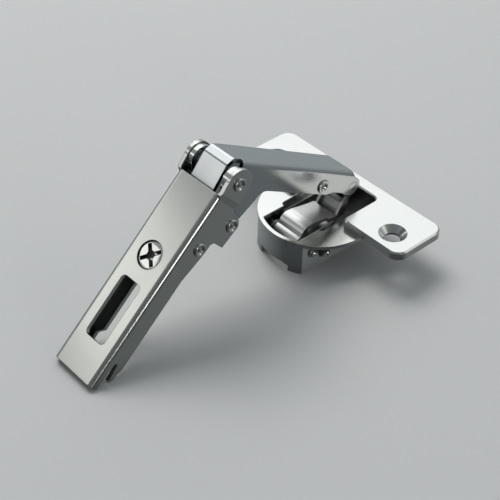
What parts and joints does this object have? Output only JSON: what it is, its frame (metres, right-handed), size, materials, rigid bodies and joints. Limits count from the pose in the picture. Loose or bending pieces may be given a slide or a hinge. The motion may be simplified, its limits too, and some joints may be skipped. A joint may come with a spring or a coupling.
{
  "type": "pie cut corner hinge",
  "caption": "Concealed corner hinge with a flanged cup, crossed links, a cranked lever and a slotted channel arm joining two cabinet doors.",
  "frame": {"origin": "midway between the two flange screws on the door face", "axes": "+Z out of the door, +Y away from the door edge, X across the hinge along the screw line"},
  "size_m": [0.0644, 0.1061, 0.0478],
  "materials": {
    "cup_casting": "satin nickel plate",
    "arm_steel": "satin nickel plate",
    "lever_steel": "satin nickel plate",
    "link_steel": "bright nickel plate",
    "bright_steel": "bright nickel plate",
    "spring_wire": "plain spring wire"
  },
  "bodies": {
    "cup_body": {"cup": "cup_casting", "front_pin": "bright_steel", "rear_pin": "bright_steel", "closing_spring_left": "spring_wire", "closing_spring_right": "spring_wire"},
    "front_link_body": {"front_link": "link_steel"},
    "rear_link_body": {"rear_link": "link_steel"},
    "arm_body": {"lever": "lever_steel", "nose_pin": "bright_steel", "link_rivet": "bright_steel", "knee_rivet": "bright_steel", "leg_rivet": "bright_steel", "anchor_rivet": "bright_steel", "anchor_bush": "link_steel", "knee_spacer_left": "bright_steel", "knee_spacer_right": "bright_steel", "leg_spacer_left": "bright_steel", "leg_spacer_right": "bright_steel", "hinge_arm": "arm_steel"},
    "screw_body": {"adjusting_screw": "bright_steel"}
  },
  "joints": [
    {"name": "link_swing", "type": "hinge", "parent": "cup_body", "child": "front_link_body", "pos_m": [0, -0.0168, -0.0047], "axis": [1, 0, 0], "range_deg": [-21.5, 33]},
    {"name": "lever_fold", "type": "hinge", "parent": "front_link_body", "child": "arm_body", "pos_m": [0, 0.00185, 0.00738], "axis": [1, 0, 0], "range_deg": [-8.3, 12.8]},
    {"name": "rear_swing", "type": "hinge", "parent": "cup_body", "child": "rear_link_body", "pos_m": [0, -0.0113, -0.0074], "axis": [1, 0, 0], "range_deg": [-20.3, 31.1]},
    {"name": "screw_turn", "type": "hinge", "parent": "arm_body", "child": "screw_body", "pos_m": [0, -0.06692, 0.01587], "axis": [0, -0.6807, 0.7325], "continuous": true}
  ],
  "couplings": [
    {"joint": "lever_fold", "follows": "link_swing", "ratio": 0.3842},
    {"joint": "rear_swing", "follows": "link_swing", "ratio": 0.9374}
  ]
}
